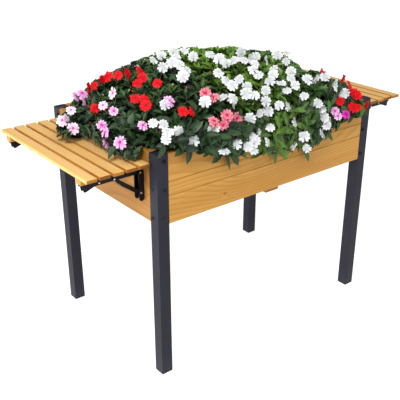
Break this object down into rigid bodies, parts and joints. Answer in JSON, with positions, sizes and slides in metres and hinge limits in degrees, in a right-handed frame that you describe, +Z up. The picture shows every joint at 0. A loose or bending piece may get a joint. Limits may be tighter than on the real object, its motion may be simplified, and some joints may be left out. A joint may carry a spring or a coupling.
{
  "type": "planted raised bed",
  "caption": "Wooden planter box on tall square steel legs, with a folding slatted shelf at each end, filled with soil and overflowing with busy lizzies in flower.",
  "frame": {"origin": "on the ground, in the middle of the four feet", "axes": "+X along the length towards the right shelf, -Y towards the front that the plants hang over, +Z up"},
  "size_m": [1.344, 0.68, 0.9627],
  "materials": {
    "leg_steel": "satin",
    "foot_plastic": "matte",
    "board_pine": "satin",
    "shelf_pine": "satin",
    "bracket_steel": "satin",
    "liner_cloth": "matte",
    "potting_soil": "matte",
    "foliage": "satin"
  },
  "bodies": {
    "root": {"leg_front_left": "leg_steel", "leg_front_right": "leg_steel", "leg_rear_left": "leg_steel", "leg_rear_right": "leg_steel", "foot_front_left": "foot_plastic", "foot_front_right": "foot_plastic", "foot_rear_left": "foot_plastic", "foot_rear_right": "foot_plastic", "corner_post_front_left": "board_pine", "corner_post_front_right": "board_pine", "corner_post_rear_left": "board_pine", "corner_post_rear_right": "board_pine", "front_board_top": "board_pine", "front_board_middle": "board_pine", "front_board_bottom": "board_pine", "rear_board_top": "board_pine", "rear_board_middle": "board_pine", "rear_board_bottom": "board_pine", "left_board_top": "board_pine", "left_board_middle": "board_pine", "left_board_bottom": "board_pine", "right_board_top": "board_pine", "right_board_middle": "board_pine", "right_board_bottom": "board_pine", "floor_board": "board_pine", "cross_bar": "board_pine", "liner": "liner_cloth", "soil": "potting_soil", "plant_front_left": "foliage", "plant_front_middle": "foliage", "plant_front_right": "foliage", "plant_rear_left": "foliage", "plant_rear_middle": "foliage", "plant_rear_right": "foliage", "left_wall_plate_front": "bracket_steel", "left_wall_plate_rear": "bracket_steel", "right_wall_plate_front": "bracket_steel", "right_wall_plate_rear": "bracket_steel"},
    "left_shelf": {"left_slat_1": "shelf_pine", "left_slat_2": "shelf_pine", "left_slat_3": "shelf_pine", "left_slat_4": "shelf_pine", "left_slat_5": "shelf_pine", "left_batten_front": "shelf_pine", "left_batten_rear": "shelf_pine", "left_arm_front": "bracket_steel", "left_arm_rear": "bracket_steel"},
    "left_struts": {"left_strut_front": "bracket_steel", "left_strut_rear": "bracket_steel"},
    "right_shelf": {"right_slat_1": "shelf_pine", "right_slat_2": "shelf_pine", "right_slat_3": "shelf_pine", "right_slat_4": "shelf_pine", "right_slat_5": "shelf_pine", "right_batten_front": "shelf_pine", "right_batten_rear": "shelf_pine", "right_arm_front": "bracket_steel", "right_arm_rear": "bracket_steel"},
    "right_struts": {"right_strut_front": "bracket_steel", "right_strut_rear": "bracket_steel"}
  },
  "joints": [
    {"name": "left_shelf_fold", "type": "hinge", "parent": "root", "child": "left_shelf", "pos_m": [-0.476, 0, 0.692], "axis": [0, -1, 0], "range_deg": [0, 90]},
    {"name": "left_strut_swing", "type": "hinge", "parent": "root", "child": "left_struts", "pos_m": [-0.475, 0, 0.627], "axis": [0, -1, 0], "range_deg": [0, 127]},
    {"name": "right_shelf_fold", "type": "hinge", "parent": "root", "child": "right_shelf", "pos_m": [0.476, 0, 0.692], "axis": [0, 1, 0], "range_deg": [0, 90]},
    {"name": "right_strut_swing", "type": "hinge", "parent": "root", "child": "right_struts", "pos_m": [0.475, 0, 0.627], "axis": [0, 1, 0], "range_deg": [0, 127]}
  ],
  "couplings": [
    {"joint": "left_strut_swing", "follows": "left_shelf_fold", "ratio": 1.41},
    {"joint": "right_strut_swing", "follows": "right_shelf_fold", "ratio": 1.41}
  ]
}
